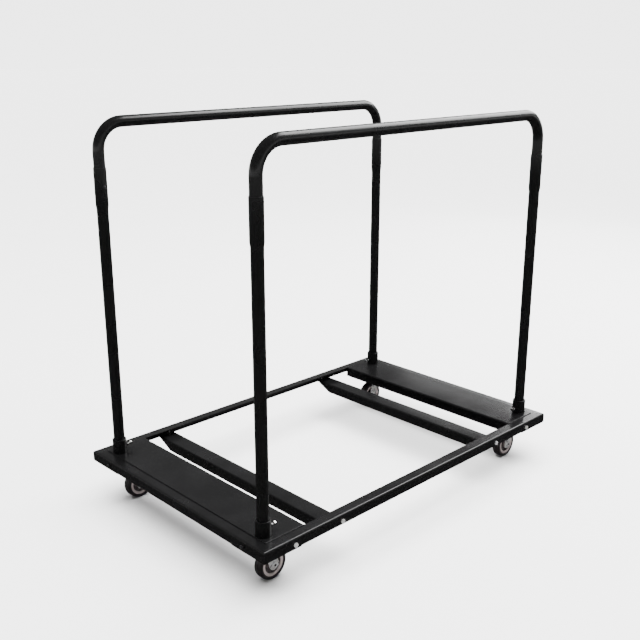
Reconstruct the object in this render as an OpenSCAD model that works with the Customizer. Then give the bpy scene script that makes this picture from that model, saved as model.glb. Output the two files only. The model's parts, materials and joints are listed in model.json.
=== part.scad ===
// Trolley for a stack of round banquet tables. A low base of folded steel angle stands on four
// swivel casters, two bars across it cradle the tables' rims, and two tubular hoops keep the
// tables upright between them.
// Millimetres. X runs along the length, Y from front to back, Z up from the floor.

/* [Base rails] */
// Length of the base over its end rails
base_length = 1450; // [1250:10:1800]
// Depth of the base over its side rails
base_depth = 935; // [750:5:1200]
// Width of a rail's flat top leg
rail_width = 38; // [30:1:60]
// Height of a rail's upright outer leg
rail_height = 34; // [32:1:60]
// Thickness of the rails' steel
rail_thickness = 4; // [3:0.5:6]
// Inner radius of a rail's folded heel
rail_bend = 1.5; // [0.5:0.5:3]

/* [Deck] */
// Reach of a deck sheet, from the outer face of the end rail
deck_reach = 191; // [170:1:250]
// Thickness of the deck sheet
deck_thickness = 3; // [1:0.5:4]
// Lap of the deck sheet over the rails' top legs
deck_lap = 2; // [1:0.5:10]
// Height of the deck's turned-down inner edge
deck_fold = 40; // [15:1:45]
// Inner radius of that fold
deck_bend = 2; // [1:0.5:5]
// Gap between the turned-down edge and the side rails' top legs
deck_edge_gap = 0.5; // [0.2:0.1:2]
// Gap between a socket and the edge of its hole in the deck
deck_hole_gap = 0.5; // [0.3:0.1:2]

/* [Corner brackets] */
// Thickness of a bracket's plate and of its two flanges
bracket_thickness = 4; // [3:0.5:8]
// How far the bracket's plate stays inside the rails' outer faces
bracket_inset = 1; // [0.5:0.5:3]
// Reach of the plate past the swivel axis, along the length
bracket_past_swivel_x = 59; // [40:1:75]
// Reach of the plate past the swivel axis, along the depth
bracket_past_swivel_y = 46; // [40:1:70]
// Chamfer across the plate's inner corner
bracket_chamfer = 18; // [5:1:30]

/* [Posts and hoops] */
// Outer diameter of the tube of the posts and hoops
tube_diameter = 38; // [32:1:48]
// Wall of that tube
tube_wall = 1.5; // [1.2:0.1:3]
// Clearance, on the diameter, around a tube that slides into another
tube_clearance = 0.4; // [0.2:0.1:0.8]
// Wall of the sockets that hold the posts
socket_wall = 4.8; // [3:0.2:8]
// Height of the sockets above the rails
socket_height = 54; // [40:1:90]
// Gap between a socket and the top leg of the end rail
socket_gap_end = 1; // [0.5:0.5:20]
// Gap between a socket and the top leg of the side rail
socket_gap_side = 15; // [0.5:0.5:30]
// Height of the hoops' top bar, at its centre line, above the rails
hoop_height = 1150; // [1120:1:1400]
// Centre-line radius of the hoops' bends
hoop_bend = 90; // [60:1:130]
// Height above the rails of the foot of the swelled joint in a post
joint_height = 885; // [500:5:900]
// Length of the swelled joint
joint_length = 123; // [80:1:130]
// Wall of the swelled joint
joint_wall = 1.8; // [1.5:0.1:3]
// Length of the taper below the swelled joint
joint_taper = 12; // [5:1:30]

/* [Cradle bars] */
// Distance of a cradle bar from the outer face of the end rail
cradle_inset = 275; // [260:1:400]
// Width of the bar, a folded channel with its flanges down
cradle_width = 65; // [40:1:90]
// Height of the bar over its flanges
cradle_height = 38; // [25:1:50]
// Thickness of the bar's sheet
cradle_sheet = 3; // [2:0.5:5]
// Inner radius of the bar's folds
cradle_bend = 2; // [1:0.5:4]
// Length over which the flanges slope up towards the side rails
cradle_slope = 65; // [40:1:100]
// Height of flange left below the fold at the ends of the bar
cradle_end_lip = 1; // [0.5:0.5:5]
// Drop of the bar's top below the top of the rails
cradle_drop = 28; // [16:1:40]
// Thickness of the cleat at each end of the bar
cleat_thickness = 6; // [5:0.5:10]

/* [Casters] */
// Distance of the swivel axis past the socket's side, along the length
swivel_past_socket_x = 1; // [0:1:20]
// Distance of the swivel axis past the socket's side, along the depth
swivel_past_socket_y = 5; // [5:1:20]
// Distance of the axle behind the swivel axis
caster_trail = 24; // [20:1:45]
// Diameter of a wheel
wheel_diameter = 105; // [75:1:160]
// Width of a wheel's tyre
wheel_width = 32; // [25:1:45]
// Thickness of the tyre
tyre_thickness = 12; // [8:1:16]
// Radius of the tyre's shoulders
tyre_shoulder = 6; // [3:0.5:8]
// Outer diameter of the core's hub
hub_diameter = 30; // [28:1:40]
// Thickness of the core's rim
rim_thickness = 9; // [3:0.5:10]
// Thickness of the core's web
web_thickness = 11; // [6:1:18]
// Outer diameter of the bearing sleeve
sleeve_diameter = 20; // [16:1:24]
// Diameter of the axle
axle_diameter = 10; // [8:1:12]
// Gap between the tyre and each leg of the fork
wheel_side_gap = 2; // [1:0.5:5]
// Gap between the wheel's highest point and the head of the king bolt
wheel_top_gap = 10; // [5:1:25]
// Thickness of the fork's sheet
fork_thickness = 3; // [2:0.5:5]
// Inner radius of the fork's bends
fork_bend = 2; // [1:0.5:5]
// Radius of the fork's round end at the axle
fork_end_radius = 18; // [11:0.5:20]
// Length of the fork's crown, along the wheel
crown_length = 42; // [32:1:60]
// Thickness of the raised ball track on the crown
track_height = 4; // [3:0.5:6]
// Diameter of the swivel balls
ball_diameter = 7; // [6:0.5:8]
// Least gap between two balls
ball_gap = 0.6; // [0.2:0.1:2]
// Wall between the king bolt and the balls
track_inner_wall = 7.5; // [5:0.5:12]
// Wall outside the balls
track_outer_wall = 2.5; // [1.5:0.5:6]
// Gap between the ball track and the plate above it
track_gap = 5; // [4:0.1:5.5]
// Thickness of the caster's top plate
top_plate_thickness = 4; // [3:0.5:8]
// Gap between the ball track and the skirt round it
skirt_gap = 3; // [1:0.5:5]
// Thickness of the skirt
skirt_thickness = 2; // [1.5:0.5:4]
// Height of the gap left under the skirt
skirt_floor_gap = 3; // [2:0.5:4]
// Diameter of the king bolt
king_diameter = 12; // [10:1:14]

/* [Fasteners] */
// Diameter of the hexagon bolts in the rails and sockets
bolt_diameter = 8; // [6:1:10]
// Size of those bolts across flats
bolt_flats = 13; // [10:1:17]
// Height of their heads
bolt_head = 5.3; // [4:0.1:7]
// Height of their nuts
bolt_nut = 6.5; // [5:0.1:9]
// Clearance, on the diameter, of a bolt in its hole
bolt_clearance = 0.6; // [0.2:0.1:1.2]
// Clearance, on the diameter, of a bolt in its nut
thread_clearance = 0.2; // [0.1:0.05:0.4]
// How far a bolt shows past its nut
bolt_past_nut = 2.5; // [1:0.5:5]
// Depth of the rail bolts below the top of the rails
rail_bolt_drop = 23; // [17:0.5:23]
// Distance of a bracket's bolt from the bracket's end, along the length
bracket_bolt_in_x = 25; // [12:1:60]
// Distance of a bracket's bolt from the bracket's end, along the depth
bracket_bolt_in_y = 52; // [12:1:70]
// Distance of a cleat's bolt from the inner edge of its bar
cleat_bolt_in = 20; // [10:1:24]
// How far a cleat's bolt stops short of the bar
cleat_bolt_short = 0.5; // [0.2:0.1:2]
// Depth of a socket's bolt below the top of the socket
socket_bolt_drop = 30; // [12:1:32]
// Gap between the head of a socket's bolt and its nut
socket_bolt_standoff = 11; // [2:0.5:15]
// Diameter of the screws that lock the hoops
screw_diameter = 6; // [4:0.5:8]
// Diameter of their heads
screw_head_diameter = 11; // [8:0.5:14]
// Height of their heads
screw_head = 3.3; // [2:0.1:5]
// How far a screw reaches inside the tube
screw_reach = 2; // [1:0.5:5]
// Size of the king bolts across flats
king_flats = 19; // [16:1:22]
// Height of the king bolts' heads
king_head = 7.7; // [5:0.1:10]
// Height of the king bolts' nuts
king_nut = 10; // [8:0.5:12]
// Diameter of the axles' round heads
axle_head_diameter = 18; // [15:0.5:22]
// Height of the axles' heads
axle_head = 4; // [3.5:0.5:7]
// Size across flats of the socket in an axle's head
axle_socket_flats = 8; // [5:0.5:9]
// Depth of that socket
axle_socket_depth = 3; // [2:0.5:3]
// Size of the axles' nuts across flats
axle_nut_flats = 16; // [13:1:20]
// Height of the axles' nuts
axle_nut = 8; // [6:0.5:10]

/* [Running fits] */
// Radial clearance of a bore that turns on its pin
running_clearance = 0.05; // [0.02:0.01:0.08]
// End play of a piece that turns between two faces
end_play = 0.3; // [0.2:0.05:0.6]

/* [Hidden] */
$fn = 64;
// Small overlap that makes a cut go cleanly past a face
past = 1;
// How far a leg's straight edges run inside its round end, so that they cross it cleanly
edge_tuck = 0.5;

// The caster, stacked up from the floor
wheel_radius = wheel_diameter / 2;
core_radius = wheel_radius - tyre_thickness;
fork_inner_half = wheel_width / 2 + wheel_side_gap;
fork_outer_half = fork_inner_half + fork_thickness;
crown_bottom = wheel_diameter + wheel_top_gap + king_head + end_play;
crown_top = crown_bottom + fork_thickness;
track_top = crown_top + track_height;
top_plate_bottom = track_top + track_gap;
caster_top = top_plate_bottom + top_plate_thickness;
ball_circle = king_diameter / 2 + track_inner_wall + ball_diameter / 2;
ball_count = floor(180 / asin((ball_diameter + ball_gap) / (2 * ball_circle)));
ball_level = track_top + track_gap / 2;
groove_radius = ball_diameter / 2 + end_play;
track_radius = ball_circle + ball_diameter / 2 + track_outer_wall;
skirt_inner = track_radius + skirt_gap;
skirt_outer = skirt_inner + skirt_thickness;

// The base, stacked on the casters
plate_top = caster_top + bracket_thickness;
rail_top = plate_top + rail_height;
deck_top = rail_top + deck_thickness;
heel_bottom = rail_top - rail_thickness - rail_bend;
rail_bolt_level = rail_top - rail_bolt_drop;

// Places along the length and the depth, from the outer corner of the rails
socket_diameter = tube_diameter + tube_clearance + 2 * socket_wall;
post_x = rail_width + socket_gap_end + socket_diameter / 2;
post_y = rail_width + socket_gap_side + socket_diameter / 2;
swivel_x = post_x + socket_diameter / 2 + swivel_past_socket_x;
swivel_y = post_y + socket_diameter / 2 + swivel_past_socket_y;
axle_x = swivel_x + caster_trail;
bracket_x = swivel_x + bracket_past_swivel_x;
bracket_y = swivel_y + bracket_past_swivel_y;
bracket_bolt_x = bracket_x - bracket_bolt_in_x;
bracket_bolt_y = bracket_y - bracket_bolt_in_y;
cleat_bolt_x = cradle_inset + cradle_width - cleat_bolt_in;
deck_start = rail_width - deck_lap;
cradle_start = rail_thickness + cleat_thickness;
cradle_end = cradle_sheet + cradle_bend + cradle_end_lip;

// Heights of the uprights
joint_bottom = rail_top + joint_height;
joint_top = joint_bottom + joint_length;
joint_diameter = tube_diameter + tube_clearance + 2 * joint_wall;
hoop_level = rail_top + hoop_height;
post_span = base_length - 2 * post_x;
socket_top = rail_top + socket_height;
socket_bolt_level = socket_top - socket_bolt_drop;
screw_level = joint_bottom + joint_length / 2;

black_coat = "#242528";
bright_zinc = "#c9ccd0";
black_screw = "#17181a";
tyre_black = "#2a2022";
core_grey = "#b9aea8";
bearing_steel = "#8f9296";

// Each corner's name, with its side of the length and of the depth
corners = [
    ["front_left", -1, -1],
    ["front_right", 1, -1],
    ["back_left", -1, 1],
    ["back_right", 1, 1],
];
corner_pieces = [
    "corner_bracket", "post_socket", "post", "caster_head", "swivel_balls",
    "fork", "axle", "wheel_sleeve", "wheel_core", "wheel_tyre",
];

// Point where a line from p touches a circle, on one side or the other
function tangent(p, centre, radius, side) =
    let (to_p = p - centre, turn = atan2(to_p.y, to_p.x) + side * acos(radius / norm(to_p)))
    centre + radius * [cos(turn), sin(turn)];

// Places its children at a corner: x and y then run inward from the rails' outer corner
module at_corner(corner)
    translate([corner[1] * base_length / 2, corner[2] * base_depth / 2, 0])
        mirror([corner[1] > 0 ? 1 : 0, 0, 0])
            mirror([0, corner[2] > 0 ? 1 : 0, 0])
                children();

module at_all_corners()
    for (corner = corners)
        at_corner(corner) children();

// Folded angle: its heel is at the top left, one leg runs right and the other down to y = 0
module angle_section(width, height, thickness, bend) {
    heel = bend + thickness;
    translate([heel, height - thickness]) square([width - heel, thickness]);
    square([thickness, height - heel]);
    translate([heel, height - heel])
        intersection() {
            difference() {
                circle(r = heel);
                circle(r = bend);
            }
            translate([-heel, 0]) square(heel);
        }
}

module hexagon(flats, height)
    cylinder(d = flats / cos(30), h = height, $fn = 6);

// Hexagon bolt: the head stands above z = 0 and the shank runs down from it
module hex_bolt(diameter, flats, head, length) {
    hexagon(flats, head);
    translate([0, 0, -length]) cylinder(d = diameter, h = length + head / 2);
}

module hex_nut(diameter, flats, height)
    difference() {
        hexagon(flats, height);
        translate([0, 0, -past]) cylinder(d = diameter + thread_clearance, h = height + 2 * past);
    }

// Turns z to point along -y, out of the front and back faces of the base
module facing_out_y() rotate([90, 0, 0]) children();

// Turns z to point along -x, out of the ends of the base
module facing_out_x() rotate([0, -90, 0]) children();

// Angle rail with mitred ends, lying along x with its outer face on y = 0 and its foot on z = 0
module rail(length, bolt_places) {
    bolt_hole = bolt_diameter + bolt_clearance;
    difference() {
        intersection() {
            rotate([90, 0, 90])
                linear_extrude(length, center = true)
                    angle_section(rail_width, rail_height, rail_thickness, rail_bend);
            linear_extrude(rail_height)
                polygon([
                    [-length / 2, 0],
                    [length / 2, 0],
                    [length / 2 - rail_width, rail_width],
                    [-length / 2 + rail_width, rail_width],
                ]);
        }
        for (side = [-1, 1], place = bolt_places)
            translate([side * (length / 2 - place), rail_thickness + past, rail_height - rail_bolt_drop])
                facing_out_y()
                    cylinder(d = bolt_hole, h = rail_thickness + 2 * past);
    }
}

module side_rail(side)
    color(black_coat)
        translate([0, side * base_depth / 2, plate_top])
            rotate(side > 0 ? 180 : 0)
                rail(base_length, [bracket_bolt_x, cleat_bolt_x]);

module end_rail(side)
    color(black_coat)
        translate([side * base_length / 2, 0, plate_top])
            rotate(side > 0 ? 90 : -90)
                rail(base_depth, [bracket_bolt_y]);

// Deck sheet that laps over the rails' top legs, with its inner edge turned down between the side rails
module deck(side) {
    deck_width = deck_reach - deck_start;
    fold_start = rail_width + deck_edge_gap;
    color(black_coat)
        difference() {
            mirror([side > 0 ? 1 : 0, 0, 0])
                translate([deck_reach - base_length / 2, 0, deck_top - deck_fold])
                    rotate([90, 0, 0])
                        linear_extrude(base_depth - 2 * deck_start, center = true)
                            mirror([1, 0])
                                angle_section(deck_width, deck_fold, deck_thickness, deck_bend);
            at_all_corners() {
                translate([deck_start, 0, rail_top - deck_fold])
                    cube([deck_width + past, fold_start, deck_fold]);
                translate([post_x, post_y, rail_top - past])
                    cylinder(d = socket_diameter + 2 * deck_hole_gap, h = deck_thickness + 2 * past);
            }
        }
}

// Plate under a corner of the rails, with two flanges that are bolted to them
module corner_bracket() {
    flange_height = heel_bottom - caster_top;
    bolt_hole = bolt_diameter + bolt_clearance;
    color(black_coat)
        difference() {
            union() {
                translate([0, 0, caster_top])
                    linear_extrude(bracket_thickness)
                        polygon([
                            [bracket_inset, bracket_inset],
                            [bracket_x, bracket_inset],
                            [bracket_x, bracket_y - bracket_chamfer],
                            [bracket_x - bracket_chamfer, bracket_y],
                            [bracket_inset, bracket_y],
                        ]);
                translate([rail_thickness, rail_thickness, caster_top])
                    cube([bracket_x - rail_thickness, bracket_thickness, flange_height]);
                translate([rail_thickness, rail_thickness, caster_top])
                    cube([bracket_thickness, bracket_y - rail_thickness, flange_height]);
            }
            translate([bracket_bolt_x, rail_thickness + bracket_thickness + past, rail_bolt_level])
                facing_out_y()
                    cylinder(d = bolt_hole, h = bracket_thickness + 2 * past);
            translate([rail_thickness + bracket_thickness + past, bracket_bolt_y, rail_bolt_level])
                facing_out_x()
                    cylinder(d = bolt_hole, h = bracket_thickness + 2 * past);
            translate([swivel_x, swivel_y, caster_top - past])
                cylinder(d = king_diameter + bolt_clearance, h = bracket_thickness + 2 * past);
        }
}

// Short tube on the bracket that a post stands in, with a hole for its clamp bolt
module post_socket()
    color(black_coat)
        difference() {
            translate([post_x, post_y, plate_top])
                cylinder(d = socket_diameter, h = socket_top - plate_top);
            translate([post_x, post_y, plate_top - past])
                cylinder(d = tube_diameter + tube_clearance, h = socket_top - plate_top + 2 * past);
            translate([post_x, post_y, socket_bolt_level])
                rotate([0, 90, 0])
                    cylinder(d = bolt_diameter + bolt_clearance, h = socket_diameter / 2 + past);
        }

// Hole along y through the inner wall of the swelled joint and of the hoop's leg
module hoop_screw_hole()
    translate([post_x, post_y, screw_level])
        rotate([-90, 0, 0])
            cylinder(d = screw_diameter + bolt_clearance, h = joint_diameter / 2 + past);

// Lower part of an upright, swelled at its top to take the hoop's leg
module post() {
    tube_radius = tube_diameter / 2;
    bore_radius = tube_radius - tube_wall;
    joint_radius = joint_diameter / 2;
    joint_bore = joint_radius - joint_wall;
    color(black_coat)
        difference() {
            translate([post_x, post_y, 0])
                rotate_extrude()
                    polygon([
                        [bore_radius, plate_top],
                        [tube_radius, plate_top],
                        [tube_radius, joint_bottom - joint_taper],
                        [joint_radius, joint_bottom],
                        [joint_radius, joint_top],
                        [joint_bore, joint_top],
                        [joint_bore, joint_bottom],
                        [bore_radius, joint_bottom],
                    ]);
            hoop_screw_hole();
        }
}

module tube_section()
    difference() {
        circle(d = tube_diameter);
        circle(d = tube_diameter - 2 * tube_wall);
    }

// Bent tube whose two legs stand in the posts' swelled joints
module hoop(side) {
    leg_top = hoop_level - hoop_bend;
    color(black_coat)
        difference() {
            translate([0, side * (base_depth / 2 - post_y), 0])
                union() {
                    for (leg = [-1, 1])
                        translate([leg * post_span / 2, 0, joint_bottom])
                            linear_extrude(leg_top - joint_bottom) tube_section();
                    for (turn = [0, 1])
                        mirror([turn, 0, 0])
                            translate([post_span / 2 - hoop_bend, 0, leg_top])
                                rotate([90, 0, 0])
                                    rotate_extrude(angle = 90)
                                        translate([hoop_bend, 0]) tube_section();
                    translate([0, 0, hoop_level])
                        rotate([0, 90, 0])
                            linear_extrude(post_span - 2 * hoop_bend, center = true) tube_section();
                }
            at_all_corners() hoop_screw_hole();
        }
}

// Folded channel across the base, below the level of the rails, with flanges that slope up at its ends
module cradle_bar(side) {
    bar_x = base_length / 2 - cradle_inset - cradle_width / 2;
    bar_half = base_depth / 2 - cradle_start;
    slope_foot = bar_half - cradle_slope;
    end_bottom = cradle_height - cradle_end;
    color(black_coat)
        translate([side * bar_x, 0, rail_top - cradle_drop - cradle_height])
            intersection() {
                rotate([90, 0, 0])
                    linear_extrude(2 * bar_half, center = true)
                        for (flange = [0, 1])
                            mirror([flange, 0])
                                translate([-cradle_width / 2, 0])
                                    angle_section(cradle_width / 2 + past, cradle_height,
                                                  cradle_sheet, cradle_bend);
                rotate([90, 0, 90])
                    linear_extrude(cradle_width + 2 * past, center = true)
                        polygon([
                            [-slope_foot, 0],
                            [slope_foot, 0],
                            [bar_half, end_bottom],
                            [bar_half, cradle_height + past],
                            [-bar_half, cradle_height + past],
                            [-bar_half, end_bottom],
                        ]);
            }
}

// Pair of plates that close the ends of a cradle bar and are bolted to the side rails
module cradle_cleats(side) {
    cleat_bottom = rail_top - cradle_drop - cradle_end;
    color(black_coat)
        for (corner = corners)
            if (corner[1] == side)
                at_corner(corner)
                    difference() {
                        translate([cradle_inset, rail_thickness, cleat_bottom])
                            cube([cradle_width, cleat_thickness, heel_bottom - cleat_bottom]);
                        translate([cleat_bolt_x, cradle_start + past, rail_bolt_level])
                            facing_out_y()
                                cylinder(d = bolt_diameter + bolt_clearance, h = cleat_thickness + 2 * past);
                    }
}

// Two bolts at each corner, from outside through a rail and a bracket's flange
module frame_bolts() {
    grip = rail_thickness + bracket_thickness + bolt_nut + bolt_past_nut;
    color(bright_zinc)
        at_all_corners() {
            translate([bracket_bolt_x, 0, rail_bolt_level])
                facing_out_y() hex_bolt(bolt_diameter, bolt_flats, bolt_head, grip);
            translate([0, bracket_bolt_y, rail_bolt_level])
                facing_out_x() hex_bolt(bolt_diameter, bolt_flats, bolt_head, grip);
        }
}

// One bolt at each end of a cradle bar, threaded into its cleat
module cradle_bolts()
    color(bright_zinc)
        at_all_corners()
            translate([cleat_bolt_x, 0, rail_bolt_level])
                facing_out_y()
                    hex_bolt(bolt_diameter, bolt_flats, bolt_head, cradle_start - cleat_bolt_short);

// One bolt in each socket, turned through a nut until it clamps the post
module socket_bolts() {
    head_x = post_x + socket_diameter / 2 + bolt_nut + socket_bolt_standoff;
    grip = head_x - post_x - tube_diameter / 2;
    color(bright_zinc)
        at_all_corners()
            translate([head_x, post_y, socket_bolt_level])
                rotate([0, 90, 0]) hex_bolt(bolt_diameter, bolt_flats, bolt_head, grip);
}

// Nuts of the frame bolts
module bolt_nuts() {
    flange_inside = rail_thickness + bracket_thickness;
    color(bright_zinc)
        at_all_corners() {
            translate([bracket_bolt_x, flange_inside + bolt_nut, rail_bolt_level])
                facing_out_y() hex_nut(bolt_diameter, bolt_flats, bolt_nut);
            translate([flange_inside + bolt_nut, bracket_bolt_y, rail_bolt_level])
                facing_out_x() hex_nut(bolt_diameter, bolt_flats, bolt_nut);
        }
}

// Nut welded to each socket for its clamp bolt, and coated with it
module socket_nuts()
    color(black_coat)
        at_all_corners()
            translate([post_x + socket_diameter / 2 + bolt_nut, post_y, socket_bolt_level])
                facing_out_x() hex_nut(bolt_diameter, bolt_flats, bolt_nut);

// Round-headed screw that locks each leg of a hoop in its joint, from the tables' side
module hoop_screws() {
    screw_length = joint_wall + tube_clearance / 2 + tube_wall + screw_reach;
    color(black_screw)
        at_all_corners()
            translate([post_x, post_y + joint_diameter / 2, screw_level])
                rotate([-90, 0, 0]) {
                    cylinder(d = screw_head_diameter, h = screw_head);
                    translate([0, 0, -screw_length])
                        cylinder(d = screw_diameter, h = screw_length + screw_head / 2);
                }
}

// Bolt that each fork turns on, put in from below
module king_bolts() {
    shank = plate_top + king_nut + bolt_past_nut - (crown_bottom - end_play);
    color(bright_zinc)
        at_all_corners()
            translate([swivel_x, swivel_y, crown_bottom - end_play])
                rotate([180, 0, 0]) hex_bolt(king_diameter, king_flats, king_head, shank);
}

module king_nuts()
    color(bright_zinc)
        at_all_corners()
            translate([swivel_x, swivel_y, plate_top])
                hex_nut(king_diameter, king_flats, king_nut);

// Ring-shaped groove that the swivel balls run in
module ball_groove()
    translate([0, 0, ball_level])
        rotate_extrude()
            translate([ball_circle, 0]) circle(r = groove_radius);

// Fixed upper half of the swivel: a plate with a ball groove and a skirt round it
module caster_head()
    color(bright_zinc)
        translate([swivel_x, swivel_y, 0])
            difference() {
                translate([0, 0, crown_top + skirt_floor_gap])
                    cylinder(r = skirt_outer, h = caster_top - crown_top - skirt_floor_gap);
                translate([0, 0, crown_top])
                    cylinder(r = skirt_inner, h = top_plate_bottom - crown_top);
                translate([0, 0, crown_top])
                    cylinder(d = king_diameter + bolt_clearance, h = caster_top - crown_top + past);
                ball_groove();
            }

module swivel_balls()
    color(bearing_steel)
        translate([swivel_x, swivel_y, ball_level])
            for (ball = [0 : ball_count - 1])
                rotate(ball * 360 / ball_count)
                    translate([ball_circle, 0, 0]) sphere(d = ball_diameter);

// Side view of the fork: the crown's length at the top, narrowing to a round end at the axle
module fork_outline() {
    axle_point = [caster_trail, wheel_radius];
    crown_back = [-crown_length / 2, crown_top];
    crown_front = [crown_length / 2, crown_top];
    tuck_radius = fork_end_radius - edge_tuck;
    polygon([
        crown_back,
        crown_front,
        tangent(crown_front, axle_point, tuck_radius, -1),
        axle_point,
        tangent(crown_back, axle_point, tuck_radius, 1),
    ]);
    translate(axle_point) circle(r = fork_end_radius);
}

// Pressed fork that swivels on the king bolt, with the lower ball track on its crown
module fork() {
    leg_height = crown_top - wheel_radius + fork_end_radius;
    fork_length = crown_length + 2 * (caster_trail + fork_end_radius);
    color(bright_zinc)
        translate([swivel_x, swivel_y, 0])
            difference() {
                union() {
                    intersection() {
                        rotate([90, 0, 90])
                            linear_extrude(fork_length, center = true)
                                for (leg = [0, 1])
                                    mirror([leg, 0])
                                        translate([-fork_outer_half, crown_top - leg_height])
                                            angle_section(fork_outer_half + past, leg_height,
                                                          fork_thickness, fork_bend);
                        rotate([90, 0, 0])
                            linear_extrude(2 * fork_outer_half, center = true) fork_outline();
                    }
                    translate([0, 0, crown_top]) cylinder(r = track_radius, h = track_height);
                }
                translate([0, 0, crown_bottom - past])
                    cylinder(r = king_diameter / 2 + running_clearance,
                             h = track_top - crown_bottom + 2 * past);
                ball_groove();
                translate([caster_trail, 0, wheel_radius])
                    rotate([90, 0, 0])
                        cylinder(d = axle_diameter + bolt_clearance,
                                 h = 2 * (fork_outer_half + past), center = true);
            }
}

// Round-headed bolt with its nut, through the fork's legs and the wheel's sleeve
module axle() {
    grip = 2 * fork_outer_half + axle_nut + bolt_past_nut;
    color(bright_zinc)
        translate([axle_x, swivel_y, wheel_radius]) {
            difference() {
                translate([0, -fork_outer_half, 0])
                    facing_out_y() {
                        cylinder(d = axle_head_diameter, h = axle_head);
                        translate([0, 0, -grip]) cylinder(d = axle_diameter, h = grip + axle_head / 2);
                    }
                translate([0, -fork_outer_half - axle_head + axle_socket_depth, 0])
                    facing_out_y() hexagon(axle_socket_flats, axle_socket_depth + past);
            }
            translate([0, fork_outer_half + axle_nut, 0])
                facing_out_y() hex_nut(axle_diameter, axle_nut_flats, axle_nut);
        }
}

// Turns a section, drawn as radius and place along the axle, round the axle
module round_axle()
    translate([axle_x, swivel_y, wheel_radius])
        rotate([90, 0, 0])
            rotate_extrude() children();

module wheel_sleeve() {
    sleeve_bore = axle_diameter / 2 + running_clearance;
    sleeve_half = fork_inner_half - end_play;
    color(bearing_steel)
        round_axle()
            translate([sleeve_bore, -sleeve_half])
                square([sleeve_diameter / 2 - sleeve_bore, 2 * sleeve_half]);
}

// Moulded centre of the wheel: hub, web and rim
module wheel_core() {
    hub_radius = hub_diameter / 2;
    rim_half = wheel_width / 2 - wheel_side_gap;
    color(core_grey)
        round_axle() {
            translate([sleeve_diameter / 2, -wheel_width / 2])
                square([hub_radius - sleeve_diameter / 2, wheel_width]);
            translate([sleeve_diameter / 2, -web_thickness / 2])
                square([core_radius - sleeve_diameter / 2, web_thickness]);
            translate([core_radius - rim_thickness, -rim_half])
                square([rim_thickness, 2 * rim_half]);
        }
}

module wheel_tyre() {
    flat_half = wheel_width / 2 - tyre_shoulder;
    color(tyre_black)
        round_axle() {
            translate([core_radius, -wheel_width / 2])
                square([tyre_thickness - tyre_shoulder, wheel_width]);
            translate([core_radius, -flat_half])
                square([tyre_thickness, 2 * flat_half]);
            for (side = [-1, 1])
                translate([wheel_radius - tyre_shoulder, side * flat_half])
                    circle(r = tyre_shoulder);
        }
}

side_rail(-1);  // front_rail
side_rail(1);  // back_rail
end_rail(-1);  // left_rail
end_rail(1);  // right_rail
deck(-1);  // left_deck
deck(1);  // right_deck
cradle_bar(-1);  // left_cradle_bar
cradle_bar(1);  // right_cradle_bar
cradle_cleats(-1);  // left_cradle_cleats
cradle_cleats(1);  // right_cradle_cleats
hoop(-1);  // front_hoop
hoop(1);  // back_hoop
frame_bolts();
cradle_bolts();
socket_bolts();
bolt_nuts();
socket_nuts();
hoop_screws();
king_bolts();
king_nuts();
for (corner = corners) {
    name = corner[0];
    at_corner(corner) corner_bracket();
    at_corner(corner) post_socket();
    at_corner(corner) post();
    at_corner(corner) caster_head();
    at_corner(corner) swivel_balls();
    at_corner(corner) fork();
    at_corner(corner) axle();
    at_corner(corner) wheel_sleeve();
    at_corner(corner) wheel_core();
    at_corner(corner) wheel_tyre();
}
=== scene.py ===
import json
import math

import bmesh
import bpy
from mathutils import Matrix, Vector

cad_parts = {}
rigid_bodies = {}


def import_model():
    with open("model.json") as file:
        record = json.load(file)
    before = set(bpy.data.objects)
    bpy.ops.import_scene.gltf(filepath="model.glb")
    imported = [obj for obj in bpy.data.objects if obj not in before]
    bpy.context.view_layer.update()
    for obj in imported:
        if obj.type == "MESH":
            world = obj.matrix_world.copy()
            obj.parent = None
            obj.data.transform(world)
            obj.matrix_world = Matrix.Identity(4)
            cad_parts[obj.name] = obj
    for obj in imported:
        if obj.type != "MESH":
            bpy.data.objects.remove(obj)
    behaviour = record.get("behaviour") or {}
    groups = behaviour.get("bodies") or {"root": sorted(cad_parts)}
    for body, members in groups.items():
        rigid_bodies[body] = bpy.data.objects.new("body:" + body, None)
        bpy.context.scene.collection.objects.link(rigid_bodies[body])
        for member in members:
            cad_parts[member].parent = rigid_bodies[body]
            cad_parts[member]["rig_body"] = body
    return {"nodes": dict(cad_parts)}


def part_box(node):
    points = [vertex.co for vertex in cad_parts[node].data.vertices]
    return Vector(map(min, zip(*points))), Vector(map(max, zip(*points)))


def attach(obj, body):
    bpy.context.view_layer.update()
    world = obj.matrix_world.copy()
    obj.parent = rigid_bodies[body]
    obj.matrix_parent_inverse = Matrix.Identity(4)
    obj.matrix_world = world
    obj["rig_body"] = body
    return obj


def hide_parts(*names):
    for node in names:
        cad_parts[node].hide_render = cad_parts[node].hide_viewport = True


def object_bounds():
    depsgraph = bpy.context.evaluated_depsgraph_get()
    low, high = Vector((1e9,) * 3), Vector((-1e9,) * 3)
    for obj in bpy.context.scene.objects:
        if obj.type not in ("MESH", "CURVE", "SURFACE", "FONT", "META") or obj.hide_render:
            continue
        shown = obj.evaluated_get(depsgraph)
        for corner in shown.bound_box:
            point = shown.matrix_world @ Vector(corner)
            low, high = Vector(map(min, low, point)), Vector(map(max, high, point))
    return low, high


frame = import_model()
cad_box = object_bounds()
nodes = frame["nodes"]


# Base rails. Four lengths of 4 mm steel, folded to an angle with a flat top leg and an upright outer leg,
# mitred at the corners and welded into a rectangle. Satin black powder coat, sprayed on and baked.
rail_low, rail_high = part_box("front_rail")
half_length = rail_high.x
half_depth = -rail_low.y
rail_foot = rail_low.z
rail_top = rail_high.z
rail_edge = 0.0007
same_point = 1e-6
mitre_reach = 1e-4
coat_black = (0.0016, 0.0016, 0.0017)
# The lighter colour of the film on flat tops: settled dust, and painted sheen that makes the tops look lit.
coat_dust_and_sheen = (0.0050, 0.0050, 0.0052)


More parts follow.
